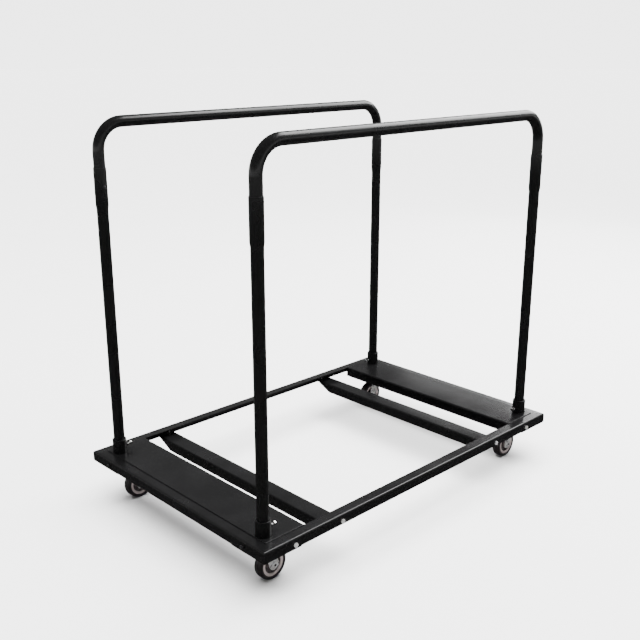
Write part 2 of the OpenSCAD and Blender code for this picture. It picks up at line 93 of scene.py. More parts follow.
def wire(tree, kind, inputs, **settings):
    """Adds a node with its settings, and fills its inputs with plain values or with other nodes' outputs."""
    node = tree.nodes.new(kind)
    for name, value in settings.items():
        setattr(node, name, value)
    for key, value in inputs.items():
        if isinstance(value, bpy.types.NodeSocket):
            tree.links.new(value, node.inputs[key])
        else:
            node.inputs[key].default_value = value
    return node


def times(tree, first, second):
    """The product of two values."""
    return wire(tree, "ShaderNodeMath", {0: first, 1: second}, operation="MULTIPLY").outputs[0]


def mapped(tree, value, low, high, from_low=0.35, from_high=0.65):
    """A value between two levels of a pattern, stretched to run from low to high."""
    sizes = {"Value": value, "From Min": from_low, "From Max": from_high, "To Min": low, "To Max": high}
    return wire(tree, "ShaderNodeMapRange", sizes).outputs["Result"]


def blended(tree, share, first, second):
    """A colour that goes from the first to the second as the share goes from 0 to 1."""
    inputs = {"Factor": share, 6: (*first, 1), 7: (*second, 1)}
    return wire(tree, "ShaderNodeMix", inputs, data_type="RGBA").outputs[2]


def noise(tree, place, scale, detail):
    """A cloudy pattern, finer as its scale grows."""
    sizes = {"Vector": place, "Scale": scale, "Detail": detail}
    return wire(tree, "ShaderNodeTexNoise", sizes).outputs["Fac"]


def bumped(tree, sockets, height, strength, depth):
    """Gives a finish a fine relief."""
    bump = wire(tree, "ShaderNodeBump", {"Height": height, "Strength": strength, "Distance": depth})
    tree.links.new(bump.outputs["Normal"], sockets["Normal"])


def new_finish(name):
    """Starts a material, and returns it with its tree, its shader's sockets and the place on the piece."""
    finish = bpy.data.materials.new(name)
    finish.use_nodes = True
    tree = finish.node_tree
    place = wire(tree, "ShaderNodeTexCoord", {}).outputs["Object"]
    return finish, tree, tree.nodes["Principled BSDF"].inputs, place


def powder_coat(name, black, dust_and_sheen, rough_low, rough_high):
    """Satin powder coat: a fine orange peel, slightly uneven gloss, and a film on flat tops of dust and
    painted sheen.
    """
    shine = 0.4
    peel_scale, speck_scale, cloud_scale = 620, 190, 7
    peel_strength, peel_depth = 0.18, 0.00012
    flat_from = 0.75
    least_dust_and_sheen, least_fleck = 0.35, 0.6
    coat, tree, sockets, place = new_finish(name)
    sockets["Specular IOR Level"].default_value = shine
    peel = noise(tree, place, peel_scale, detail=2)
    cloud = noise(tree, place, cloud_scale, detail=4)
    speck = noise(tree, place, speck_scale, detail=3)
    normal = wire(tree, "ShaderNodeNewGeometry", {}).outputs["Normal"]
    upward = wire(tree, "ShaderNodeSeparateXYZ", {"Vector": normal}).outputs["Z"]
    lying = mapped(tree, upward, 0, 1, flat_from, 1)
    # Faces that lie flat get a lighter film: partly settled dust, partly painted sheen that makes the tops
    # look lit.
    dust_and_sheen_share = times(tree, lying, mapped(tree, cloud, least_dust_and_sheen, 1))
    flecked = times(tree, dust_and_sheen_share, mapped(tree, speck, least_fleck, 1))
    tree.links.new(blended(tree, flecked, black, dust_and_sheen), sockets["Base Color"])
    tree.links.new(mapped(tree, cloud, rough_low, rough_high), sockets["Roughness"])
    bumped(tree, sockets, peel, peel_strength, peel_depth)
    return coat


def fitted(name, mesh, finish, slot, body, *stands_for):
    """Puts a mesh into the scene as a piece that moves with its body and stands for CAD pieces."""
    piece = bpy.data.objects.new(name, mesh)
    bpy.context.scene.collection.objects.link(piece)
    mesh.materials.clear()
    mesh.materials.append(finish)
    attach(piece, body)
    if stands_for:
        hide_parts(*stands_for)
    return piece


def rounded_copy(node, edge, finish, slot, seam=None):
    """Copies a CAD piece, joins its triangles and rounds its sharp edges, except along a welded seam."""
    flat_below = math.radians(0.4)
    sharp_above = math.radians(40)
    source = nodes[node].data
    mesh = bpy.data.meshes.new(f"{node}_shape")
    mesh.from_pydata([v.co for v in source.vertices], [], [p.vertices for p in source.polygons])
    shape = bmesh.new()
    shape.from_mesh(mesh)
    bmesh.ops.remove_doubles(shape, verts=shape.verts, dist=same_point)
    bmesh.ops.dissolve_limit(shape, angle_limit=flat_below, verts=shape.verts, edges=shape.edges)
    weight = shape.edges.layers.float.new("bevel_weight_edge")
    for line in shape.edges:
        sharp = len(line.link_faces) == 2 and line.calc_face_angle() > sharp_above
        on_seam = seam is not None and all(seam(end.co) for end in line.verts)
        line[weight] = float(sharp and not on_seam)
        line.smooth = not sharp
    for face in shape.faces:
        face.smooth = True
    shape.to_mesh(mesh)
    shape.free()
    piece = fitted(f"{node}_piece", mesh, finish, slot, nodes[node]["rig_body"], node)
    rounding = piece.modifiers.new("rounded edges", "BEVEL")
    rounding.limit_method = "WEIGHT"
    rounding.width = edge
    rounding.segments = 3
    rounding.use_clamp_overlap = False
    rounding.harden_normals = True
    return piece


def on_mitre(point):
    """True on the planes where two rails are welded together."""
    return abs((half_length - abs(point.x)) - (half_depth - abs(point.y))) < mitre_reach


frame_black = powder_coat("satin_black_frame", coat_black, coat_dust_and_sheen, rough_low=0.20, rough_high=0.29)
for rail in ("front_rail", "back_rail", "left_rail", "right_rail"):
    rounded_copy(rail, rail_edge, frame_black, "black_coat", on_mitre)


# Deck sheets. One 3 mm steel sheet at each end, lapped over the rails' top legs and pierced for the two
# sockets, with its inner edge folded down to stiffen it. Same coat, a little smoother on the broad flat face.
deck_edge = 0.0012
deck_black = powder_coat("satin_black_sheet", coat_black, coat_dust_and_sheen, rough_low=0.19, rough_high=0.27)
for deck in ("left_deck", "right_deck"):
    rounded_copy(deck, deck_edge, deck_black, "black_coat")


# Corner brackets. A 4 mm steel plate under each corner, with two flanges that are bolted to the rails. Cut,
# folded and welded, and coated with the base.
bracket_edge = 0.0007
corners = [name.removesuffix("_corner_bracket") for name in nodes if name.endswith("_corner_bracket")]
for corner in corners:
    rounded_copy(f"{corner}_corner_bracket", bracket_edge, frame_black, "black_coat")


# Post sockets. A short length of thick tube welded upright on each bracket, through the hole in the deck.
# A bolt through a nut on its inner side clamps the post.
socket_edge = 0.0012
# The tubes' lighter film on their tops is also dust and painted sheen.
tube_black = powder_coat("satin_black_tube", black=(0.0015, 0.0015, 0.0016), dust_and_sheen=(0.0040, 0.0040, 0.0042),
                         rough_low=0.22, rough_high=0.31)
for corner in corners:
    rounded_copy(f"{corner}_post_socket", socket_edge, tube_black, "black_coat")


# Posts. Lengths of 38 mm steel tube that stand in the sockets. The top of each is swelled in a press, so that
# the hoop's leg slides into it.
post_edge = 0.0006
for corner in corners:
    rounded_copy(f"{corner}_post", post_edge, tube_black, "black_coat")


# Hoops. One length of the same tube along each long side, bent at two corners, with both legs pushed into the
# posts' swelled tops. Coated before it is put in.
for hoop in ("front_hoop", "back_hoop"):
    nodes[hoop].material_slots[0].material = tube_black


# Cradle bars and cleats. Two folded steel channels across the base, below the level of the rails, with
# flanges that slope up at both ends. A plate welded to each end is bolted to the front or back rail.
bar_edge = 0.0006
cleat_edge = 0.0007
for side in ("left", "right"):
    rounded_copy(f"{side}_cradle_bar", bar_edge, frame_black, "black_coat")
    rounded_copy(f"{side}_cradle_cleats", cleat_edge, frame_black, "black_coat")


# Weld beads. Rippled fillets where the sockets stand on the brackets, where the bars meet their cleats and
# down the base's outer corners. Laid by hand along each joint, and coated with the base.
bead_width = 0.0042
corner_bead_width = 0.0022
bead_crease = 60
ripple_pitch = 0.0016
ripple_stretch = 2.2
ripple_least, ripple_most, ripple_seed = 0.88, 1.1, 7
ring_steps = 48
rail_heel = 0.006
bar_corner = 0.005


def open_tree(name, sizes):
    """Starts a Geometry Nodes tree: places come in with named sizes and a finish, and a mesh goes out."""
    tree = bpy.data.node_groups.new(name, "GeometryNodeTree")
    tree.interface.new_socket("Places", in_out="INPUT", socket_type="NodeSocketGeometry")
    for size in sizes:
        tree.interface.new_socket(size, in_out="INPUT", socket_type="NodeSocketFloat")
    tree.interface.new_socket("Finish", in_out="INPUT", socket_type="NodeSocketMaterial")
    tree.interface.new_socket("Mesh", in_out="OUTPUT", socket_type="NodeSocketGeometry")
    return tree, wire(tree, "NodeGroupInput", {}).outputs


def close_tree(tree, given, instances):
    """Ends a tree with real geometry that carries its finish."""
    solid = wire(tree, "GeometryNodeRealizeInstances", {"Geometry": instances}).outputs[0]
    dressed = wire(tree, "GeometryNodeSetMaterial", {"Geometry": solid, "Material": given["Finish"]})
    wire(tree, "NodeGroupOutput", {"Mesh": dressed.outputs[0]})


def grown(tree, name, places, sizes, finish, crease):
    """Runs a tree on a mesh of places. The plain mesh is smooth below the crease, which is in degrees."""
    holder = bpy.data.objects.new(name, places)
    bpy.context.scene.collection.objects.link(holder)
    growth = holder.modifiers.new("growth", "NODES")
    growth.node_group = tree
    for item in tree.interface.items_tree:
        if item.name in sizes:
            growth[item.identifier] = sizes[item.name]
        elif item.name == "Finish":
            growth[item.identifier] = finish
    depsgraph = bpy.context.evaluated_depsgraph_get()
    mesh = bpy.data.meshes.new_from_object(holder.evaluated_get(depsgraph), depsgraph=depsgraph)
    mesh.name = name
    bpy.data.objects.remove(holder)
    for face in mesh.polygons:
        face.use_smooth = True
    mesh.set_sharp_from_angle(angle=math.radians(crease))
    return mesh


bead_tree, given = open_tree("weld_bead", ["Bead width", "Ripple pitch"])
seam_curve = wire(bead_tree, "GeometryNodeMeshToCurve", {"Mesh": given["Places"]}).outputs[0]
stops = wire(bead_tree, "GeometryNodeCurveToPoints",
             {"Curve": seam_curve, "Length": given["Ripple pitch"]}, mode="LENGTH").outputs
ripple_length = times(bead_tree, given["Ripple pitch"], ripple_stretch)
ripple_size = wire(bead_tree, "ShaderNodeCombineXYZ",
                   {"X": given["Bead width"], "Y": given["Bead width"], "Z": ripple_length}).outputs[0]
unevenness = wire(bead_tree, "FunctionNodeRandomValue",
                  {2: ripple_least, 3: ripple_most, "Seed": ripple_seed}, data_type="FLOAT").outputs[1]
ripple_scale = wire(bead_tree, "ShaderNodeVectorMath",
                    {0: ripple_size, "Scale": unevenness}, operation="SCALE").outputs[0]
ripple = wire(bead_tree, "GeometryNodeMeshUVSphere", {"Segments": 10, "Rings": 6, "Radius": 0.5})
ripples = wire(bead_tree, "GeometryNodeInstanceOnPoints",
               {"Points": stops["Points"], "Instance": ripple.outputs[0],
                "Rotation": stops["Rotation"], "Scale": ripple_scale}).outputs[0]
close_tree(bead_tree, given, ripples)


def seam_lines(lines):
    """A mesh of open or closed lines for beads to follow."""
    points, edges = [], []
    for line in lines:
        first = len(points)
        points.extend(line)
        edges.extend((first + i, first + i + 1) for i in range(len(line) - 1))
    mesh = bpy.data.meshes.new("seams")
    mesh.from_pydata(points, edges, [])
    return mesh


fillet_lines, corner_lines = [], []
for corner in corners:
    socket_low, socket_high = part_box(f"{corner}_post_socket")
    foot = (socket_low + socket_high) / 2
    radius = (socket_high.x - socket_low.x) / 2
    turns = [2 * math.pi * i / ring_steps for i in range(ring_steps + 1)]
    fillet_lines.append([Vector((foot.x + radius * math.cos(t), foot.y + radius * math.sin(t), socket_low.z))
                         for t in turns])
    corner_x = math.copysign(half_length, foot.x)
    corner_y = math.copysign(half_depth, foot.y)
    corner_lines.append([Vector((corner_x, corner_y, rail_foot)),
                         Vector((corner_x, corner_y, rail_top - rail_heel))])
for side in ("left", "right"):
    bar_low, bar_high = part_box(f"{side}_cradle_bar")
    for y in (bar_low.y, bar_high.y):
        fillet_lines.append([Vector((bar_low.x + bar_corner, y, bar_high.z)),
                             Vector((bar_high.x - bar_corner, y, bar_high.z))])
for name, lines, width in (("socket_and_bar_welds", fillet_lines, bead_width),
                           ("corner_welds", corner_lines, corner_bead_width)):
    sizes = {"Bead width": width, "Ripple pitch": ripple_pitch}
    bead = grown(bead_tree, name, seam_lines(lines), sizes, frame_black, bead_crease)
    fitted(name, bead, frame_black, "black_coat", "frame")


# Hexagon bolts and nuts. M8 bolts join the rails to the brackets and cleats, and one clamps each post. An M12
# king bolt holds each caster. Forged heads with a turned chamfer and rolled threads, in bright zinc. At the
# base's two ends, which face away from the light, the same bolts get a black finish as painted shade. The
# sockets' nuts are welded on and coated with the base.
bolt_flats, bolt_head, bolt_diameter, bolt_pitch = 0.013, 0.0053, 0.008, 0.00125
king_flats, king_head, king_diameter, king_pitch = 0.019, 0.0077, 0.012, 0.00175
corner_share = 1 / math.sqrt(3)
chamfer_share = 0.475
root_share = 0.44
ridge_share = 0.42
bolt_crease = 32


def plated_steel(name, light, dull, rough_low, rough_high, metal):
    """Plated or bare steel, or a painted shade: slightly cloudy, with a fine grain and duller, warmer
    patches.
    """
    cloud_scale, grain_scale = 60, 1500
    grain_strength, grain_depth = 0.1, 0.00005
    plate, tree, sockets, place = new_finish(name)
    sockets["Metallic"].default_value = metal
    cloud = noise(tree, place, cloud_scale, detail=4)
    grain = noise(tree, place, grain_scale, detail=2)
    tree.links.new(blended(tree, mapped(tree, cloud, 0, 1), light, dull), sockets["Base Color"])
    tree.links.new(mapped(tree, cloud, rough_low, rough_high), sockets["Roughness"])
    bumped(tree, sockets, grain, grain_strength, grain_depth)
    return plate


bolt_zinc = plated_steel("bright_zinc_bolts", light=(0.60, 0.60, 0.61), dull=(0.48, 0.47, 0.45),
                         rough_low=0.25, rough_high=0.40, metal=0.7)
clamp_zinc = plated_steel("polished_zinc_bolts", light=(0.72, 0.72, 0.74), dull=(0.58, 0.57, 0.54),
                          rough_low=0.10, rough_high=0.18, metal=1)
black_oxide = plated_steel("black_oxide", light=(0.022, 0.022, 0.024), dull=(0.012, 0.012, 0.012),
                           rough_low=0.30, rough_high=0.42, metal=0.6)


def lifted(tree, shape, height):
    """Moves a shape along z."""
    shift = wire(tree, "ShaderNodeCombineXYZ", {"Z": height}).outputs[0]
    return wire(tree, "GeometryNodeTransform", {"Geometry": shape, "Translation": shift}).outputs[0]


def cylinder(tree, sides, radius, depth):
    """A cylinder or a prism about z, with its middle at the origin."""
    sizes = {"Vertices": sides, "Radius": radius, "Depth": depth}
    return wire(tree, "GeometryNodeMeshCylinder", sizes).outputs["Mesh"]


def common(tree, first, second):
    """The space that two shapes share."""
    cut = wire(tree, "GeometryNodeMeshBoolean", {}, operation="INTERSECT", solver="EXACT")
    tree.links.new(first, cut.inputs["Mesh 2"])
    tree.links.new(second, cut.inputs["Mesh 2"])
    return cut.outputs["Mesh"]


def without(tree, shape, taken):
    """A shape with the space of another taken out of it."""
    cut = wire(tree, "GeometryNodeMeshBoolean", {"Mesh 1": shape}, operation="DIFFERENCE", solver="EXACT")
    tree.links.new(taken, cut.inputs["Mesh 2"])
    return cut.outputs["Mesh"]


def chamfered_hexagon(tree, flats, height):
    """A hexagonal prism on z = 0, with the turned chamfer of a bolt's head round its top."""
    prism = cylinder(tree, 6, times(tree, flats, corner_share), height)
    standing = lifted(tree, prism, times(tree, height, 0.5))
    face_radius = times(tree, flats, chamfer_share)
    flare = wire(tree, "ShaderNodeMath", {0: height, 1: math.sqrt(3), 2: face_radius},
                 operation="MULTIPLY_ADD").outputs[0]
    cone = wire(tree, "GeometryNodeMeshCone",
                {"Vertices": 48, "Radius Top": face_radius, "Radius Bottom": flare, "Depth": height})
    return common(tree, standing, cone.outputs["Mesh"])


def placed(tree, given, shape):
    """Sets a shape at every place, with its z along the place's own axis."""
    axis = wire(tree, "GeometryNodeInputNamedAttribute", {"Name": "axis"}, data_type="FLOAT_VECTOR")
    turn = wire(tree, "FunctionNodeAlignRotationToVector", {"Vector": axis.outputs["Attribute"]}, axis="Z")
    inputs = {"Points": given["Places"], "Instance": shape, "Rotation": turn.outputs[0]}
    return wire(tree, "GeometryNodeInstanceOnPoints", inputs).outputs[0]


bolt_tree, given = open_tree("hexagon_bolt",
                             ["Across flats", "Head height", "Diameter", "Length", "Thread pitch"])
head = chamfered_hexagon(bolt_tree, given["Across flats"], given["Head height"])
root_radius = times(bolt_tree, given["Diameter"], root_share)
shank = cylinder(bolt_tree, 24, root_radius, given["Length"])
shank = lifted(bolt_tree, shank, times(bolt_tree, given["Length"], -0.5))
thread_turns = wire(bolt_tree, "ShaderNodeMath", {0: given["Length"], 1: given["Thread pitch"]},
                    operation="DIVIDE").outputs[0]
helix = wire(bolt_tree, "GeometryNodeCurveSpiral",
             {"Resolution": 20, "Rotations": thread_turns, "Start Radius": root_radius,
              "End Radius": root_radius, "Height": given["Length"]}).outputs[0]
ridge_radius = times(bolt_tree, given["Thread pitch"], ridge_share)
ridge = wire(bolt_tree, "GeometryNodeCurvePrimitiveCircle", {"Resolution": 4, "Radius": ridge_radius})
thread = wire(bolt_tree, "GeometryNodeCurveToMesh",
              {"Curve": helix, "Profile Curve": ridge.outputs["Curve"], "Fill Caps": True}).outputs[0]
thread = lifted(bolt_tree, thread, times(bolt_tree, given["Length"], -1))
bolt = wire(bolt_tree, "GeometryNodeJoinGeometry", {})
for part in (head, shank, thread):
    bolt_tree.links.new(part, bolt.inputs[0])
close_tree(bolt_tree, given, placed(bolt_tree, given, bolt.outputs[0]))

nut_tree, given = open_tree("hexagon_nut", ["Across flats", "Nut height", "Diameter"])
upper = chamfered_hexagon(nut_tree, given["Across flats"], given["Nut height"])
lift = wire(nut_tree, "ShaderNodeCombineXYZ", {"Z": given["Nut height"]}).outputs[0]
under = wire(nut_tree, "GeometryNodeTransform",
             {"Geometry": upper, "Translation": lift, "Rotation": (math.pi, 0, 0)}).outputs[0]
hole_radius = times(nut_tree, given["Diameter"], 0.5)
hole = cylinder(nut_tree, 32, hole_radius, times(nut_tree, given["Nut height"], 3))
nut = without(nut_tree, common(nut_tree, upper, under), hole)
close_tree(nut_tree, given, placed(nut_tree, given, nut))


def solids(node):
    """Lowest and highest corner of each separate solid in a CAD node."""
    shape = bmesh.new()
    shape.from_mesh(nodes[node].data)
    bmesh.ops.remove_doubles(shape, verts=shape.verts, dist=same_point)
    waiting = set(shape.verts)
    boxes = []
    while waiting:
        reached = [waiting.pop()]
        for vert in reached:
            for line in vert.link_edges:
                other = line.other_vert(vert)
                if other in waiting:
                    waiting.remove(other)
                    reached.append(other)
        low = Vector([min(v.co[i] for v in reached) for i in range(3)])
        high = Vector([max(v.co[i] for v in reached) for i in range(3)])
        boxes.append((low, high))
    shape.free()
    return boxes


def places(seats):
    """A mesh of seats, each with the direction that its fastener points in."""
    mesh = bpy.data.meshes.new("seats")
    mesh.from_pydata([seat for seat, axis in seats], [], [])
    axes = mesh.attributes.new("axis", "FLOAT_VECTOR", "POINT")
    for i, (seat, axis) in enumerate(seats):
        axes.data[i].vector = axis
    return mesh


def out_of_end(low, high):
    """The way that a bolt's head points if it stands out of one of the base's ends."""
    if max(abs(low.x), abs(high.x)) > half_length:
        return Vector((math.copysign(1, low.x), 0, 0))


def out_of_side(low, high):
    """The way that a bolt's head points if it stands out of one of the base's long sides."""
    if max(abs(low.y), abs(high.y)) > half_depth:
        return Vector((0, math.copysign(1, low.y), 0))


def towards_middle(low, high):
    """The way that a clamp bolt's head points: along the base, away from its end."""
    return Vector((-math.copysign(1, low.x), 0, 0))


def downward(low, high):
    """The way that a king bolt's head points."""
    return Vector((0, 0, -1))


def head_seats(node, direction, head_height):
    """Where the heads of a node's bolts sit, and how long their shanks are."""
    seats = []
    for low, high in solids(node):
        axis = direction(low, high)
        if axis is None:
            continue
        middle = (low + high) / 2
        reach = abs((high - low).dot(axis)) / 2
        seats.append((middle + axis * (reach - head_height), axis))
        length = 2 * reach - head_height
    return seats, length


small_bolt = (bolt_flats, bolt_head, bolt_diameter, bolt_pitch)
king_bolt = (king_flats, king_head, king_diameter, king_pitch)
bolt_groups = (("frame_side_bolts", "frame_bolts", out_of_side, small_bolt, bolt_zinc, "zinc"),
               # The bolts at the base's ends are the same as on its sides; their black finish is painted
               # shade.
               ("frame_end_bolts", "frame_bolts", out_of_end, small_bolt, black_oxide, "black_screw"),
               ("cradle_bolts_piece", "cradle_bolts", out_of_side, small_bolt, bolt_zinc, "zinc"),
               ("socket_bolts_piece", "socket_bolts", towards_middle, small_bolt, clamp_zinc, "zinc"),
               ("king_bolts_piece", "king_bolts", downward, king_bolt, bolt_zinc, "zinc"))
for name, node, direction, (flats, head_height, diameter, pitch), finish, slot in bolt_groups:
    seats, length = head_seats(node, direction, head_height)
    sizes = {"Across flats": flats, "Head height": head_height, "Diameter": diameter, "Length": length,
             "Thread pitch": pitch}
    bolts = grown(bolt_tree, name, places(seats), sizes, finish, bolt_crease)
    fitted(name, bolts, finish, slot, "frame", node)
nut_groups = (("bolt_nuts", bolt_flats, bolt_diameter, bolt_zinc, "zinc"),
              ("socket_nuts", bolt_flats, bolt_diameter, frame_black, "black_coat"),
              ("king_nuts", king_flats, king_diameter, bolt_zinc, "zinc"))
for node, flats, diameter, finish, slot in nut_groups:
    seats = []
    for low, high in solids(node):
        size = high - low
        along = min(range(3), key=lambda i: size[i])
        axis = Vector([float(i == along) for i in range(3)])
        seats.append(((low + high) / 2 - axis * size[along] / 2, axis))
    sizes = {"Across flats": flats, "Nut height": size[along], "Diameter": diameter}
    nuts = grown(nut_tree, f"{node}_piece", places(seats), sizes, finish, bolt_crease)
    fitted(f"{node}_piece", nuts, finish, slot, "frame", node)


# Hoop screws. A button-headed M6 screw locks each leg of a hoop in its post, from the inner side. Blackened
# steel, with a hexagon socket in the head.
screw_head_diameter, screw_head_height, screw_socket = 0.011, 0.0033, 0.004
button_share = 0.49
screw_tree, given = open_tree("button_screw", ["Head diameter", "Head height", "Socket flats"])
ball = wire(screw_tree, "GeometryNodeMeshUVSphere", {"Segments": 40, "Rings": 24, "Radius": 0.5})
doubled = times(screw_tree, given["Head height"], 2)
squeeze = wire(screw_tree, "ShaderNodeCombineXYZ",
               {"X": given["Head diameter"], "Y": given["Head diameter"], "Z": doubled}).outputs[0]
dome = wire(screw_tree, "GeometryNodeTransform", {"Geometry": ball.outputs["Mesh"], "Scale": squeeze})
block = cylinder(screw_tree, 40, times(screw_tree, given["Head diameter"], button_share), doubled)
block = lifted(screw_tree, block, given["Head height"])
button = common(screw_tree, dome.outputs[0], block)
key = cylinder(screw_tree, 6, times(screw_tree, given["Socket flats"], corner_share), given["Head height"])
key = lifted(screw_tree, key, given["Head height"])
close_tree(screw_tree, given, placed(screw_tree, given, without(screw_tree, button, key)))


def inward(low, high):
    """The way that a hoop screw's head points: across the base, towards its middle."""
    return Vector((0, -math.copysign(1, low.y), 0))


seats, _ = head_seats("hoop_screws", inward, screw_head_height)
sizes = {"Head diameter": screw_head_diameter, "Head height": screw_head_height, "Socket flats": screw_socket}
screws = grown(screw_tree, "hoop_screws_piece", places(seats), sizes, black_oxide, bolt_crease)
fitted("hoop_screws_piece", screws, black_oxide, "black_screw", "frame", "hoop_screws")


# Caster heads. The fixed upper half of each swivel: a pressed steel plate with a groove for the balls and a
# skirt that keeps dirt out. Zinc plated, clamped under the bracket by the king bolt.
head_edge = 0.0008
caster_zinc = plated_steel("bright_zinc_casters", light=(0.60, 0.60, 0.61), dull=(0.46, 0.45, 0.43),
                           rough_low=0.22, rough_high=0.36, metal=0.75)
for corner in corners:
    rounded_copy(f"{corner}_caster_head", head_edge, caster_zinc, "zinc")


# Swivel balls. One ring of hardened steel balls between the head and the fork, which takes the load while the
# fork turns. Ground, and packed in grease.
ball_steel = plated_steel("ground_steel", light=(0.56, 0.57, 0.59), dull=(0.46, 0.45, 0.43),
                          rough_low=0.12, rough_high=0.22, metal=1)
for corner in corners:
    nodes[f"{corner}_swivel_balls"].material_slots[0].material = ball_steel


# Forks. A single steel pressing that straddles the wheel and turns on the king bolt, with the lower ball
# track on its crown. Zinc plated, with softly rounded sheared edges.
fork_edge = 0.0007
for corner in corners:
    rounded_copy(f"{corner}_fork", fork_edge, caster_zinc, "zinc")


# Axles. A round-headed bolt with a hexagon socket, through both legs of the fork and the wheel's sleeve, with
# a nut on its far end. Zinc plated, with the inside of the socket painted near-black as painted shade.
axle_edge = 0.0004
socket_reach = 0.0048
socket_floor = 0.0035
# A near-black matt finish that stands for the shade inside the axle's socket.
axle_socket_shade = plated_steel("painted_shade_in_axle_socket", light=(0.006, 0.005, 0.005), dull=(0.003, 0.003, 0.003),
                           rough_low=0.55, rough_high=0.75, metal=0)
for corner in corners:
    axle = rounded_copy(f"{corner}_axle", axle_edge, bolt_zinc, "zinc")
    axle_low, axle_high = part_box(f"{corner}_axle")
    middle = (axle_low + axle_high) / 2
    head_face = axle_low.y if middle.y < 0 else axle_high.y
    # The faces inside the hexagon socket take the near-black finish: painted shade in the recess.
    axle.data.materials.append(axle_socket_shade)
    for face in axle.data.polygons:
        away = math.hypot(face.center.x - middle.x, face.center.z - middle.z)
        depth = abs(face.center.y - head_face)
        if away < socket_reach and axle_edge < depth < socket_floor:
            face.material_index = 1


# Wheel sleeves. A plain steel tube that is pressed into each wheel's hub and turns on the axle. Ground, and
# hidden between the fork's legs.
for corner in corners:
    nodes[f"{corner}_wheel_sleeve"].material_slots[0].material = ball_steel


# Wheel cores. The moulded centre of each wheel: a hub, a thinner web whose recess is painted dark, partly as
# road dirt and partly as painted shade, and a rim that the tyre is bonded to. Warm grey plastic.
hub_radius, web_half, rim_half, rim_wall = 0.015, 0.0055, 0.014, 0.009
fillet, fillet_steps = 0.002, 5
lip, lip_steps = 0.001, 4
# Shares of the dark colour: highest in the web's recess, where it is painted shade as well as grime.
bore_grime, hub_grime, web_grime_and_shade, rim_grime, bond_grime = 0.2, 0.15, 1.0, 0.1, 0.0
core_steps = 96
wheel_crease = 40


def turned(name, section, centre, steps):
    """Turns a closed section round an axle along Y. A point is a radius, a place along Y and a shade."""
    points, shades, faces = [], [], []
    for step in range(steps):
        angle = 2 * math.pi * step / steps
        for radius, along, shade in section:
            points.append(centre + Vector((radius * math.cos(angle), along, radius * math.sin(angle))))
            shades.append(shade)
    count = len(section)
    for step in range(steps):
        here, after = step * count, (step + 1) % steps * count
        for i in range(count):
            j = (i + 1) % count
            faces.append((here + i, here + j, after + j, after + i))
    mesh = bpy.data.meshes.new(name)
    mesh.from_pydata(points, [], faces)
    grime_and_shade = mesh.attributes.new("grime_and_shade", "FLOAT", "POINT")
    grime_and_shade.data.foreach_set("value", shades)
    shape = bmesh.new()
    shape.from_mesh(mesh)
    bmesh.ops.recalc_face_normals(shape, faces=shape.faces)
    for face in shape.faces:
        face.smooth = True
    shape.to_mesh(mesh)
    shape.free()
    mesh.set_sharp_from_angle(angle=math.radians(wheel_crease))
    return mesh


def mirrored(half_section):
    """A closed section from its half on the near side, listed from the axle outwards."""
    far = [(radius, -along, shade) for radius, along, shade in reversed(half_section)]
    return list(half_section) + far


def arc(centre_radius, centre_along, size, start, end, steps, shade):
    """Points on a round corner of a section, at angles from the outward direction towards the near side."""
    turn = [math.radians(start + (end - start) * i / steps) for i in range(steps + 1)]
    return [(centre_radius + size * math.cos(t), centre_along - size * math.sin(t), shade) for t in turn]


def moulded(name, clean, dirty_and_shaded, rough_low, rough_high, grain_scale):
    """Moulded wheel material: a fine matt grain, with grime and painted shade where the mesh says so."""
    shine = 0.4
    cloud_scale = 90
    grain_strength, grain_depth = 0.15, 0.0001
    patch_low, patch_high = 0.8, 1.1
    moulding, tree, sockets, place = new_finish(name)
    sockets["Specular IOR Level"].default_value = shine
    grain = noise(tree, place, grain_scale, detail=3)
    cloud = noise(tree, place, cloud_scale, detail=4)
    grime_and_shade = wire(tree, "ShaderNodeAttribute", {}, attribute_name="grime_and_shade").outputs["Fac"]
    patchy = wire(tree, "ShaderNodeMath", {0: grime_and_shade, 1: mapped(tree, cloud, patch_low, patch_high)},
                  operation="MULTIPLY", use_clamp=True).outputs[0]
    tree.links.new(blended(tree, patchy, clean, dirty_and_shaded), sockets["Base Color"])
    tree.links.new(mapped(tree, cloud, rough_low, rough_high), sockets["Roughness"])
    bumped(tree, sockets, grain, grain_strength, grain_depth)
    return moulding


# The dark colour fills the web's recess: road dirt and painted shade.
core_plastic = moulded("warm_grey_core", clean=(0.27, 0.228, 0.224), dirty_and_shaded=(0.012, 0.008, 0.007),
                       rough_low=0.42, rough_high=0.56, grain_scale=900)
for corner in corners:
    name = f"{corner}_wheel_core_piece"
    core_low, core_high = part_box(f"{corner}_wheel_core")
    sleeve_low, sleeve_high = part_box(f"{corner}_wheel_sleeve")
    centre = (core_low + core_high) / 2
    rim_radius = (core_high.x - core_low.x) / 2
    rim_inner = rim_radius - rim_wall
    hub_half = (core_high.y - core_low.y) / 2
    bore_radius = (sleeve_high.x - sleeve_low.x) / 2
    half = [(bore_radius, -hub_half, bore_grime)]
    half += arc(hub_radius - lip, -hub_half + lip, lip, 90, 0, lip_steps, hub_grime)
    half += arc(hub_radius + fillet, -web_half - fillet, fillet, 180, 270, fillet_steps, web_grime_and_shade)
    half += arc(rim_inner - fillet, -web_half - fillet, fillet, 270, 360, fillet_steps, web_grime_and_shade)
    half += arc(rim_inner + lip, -rim_half + lip, lip, 180, 90, lip_steps, rim_grime)
    half += [(rim_radius, -rim_half, bond_grime)]
    core = turned(name, mirrored(half), centre, core_steps)
    fitted(name, core, core_plastic, "wheel_core", f"{corner}_wheel", f"{corner}_wheel_core")


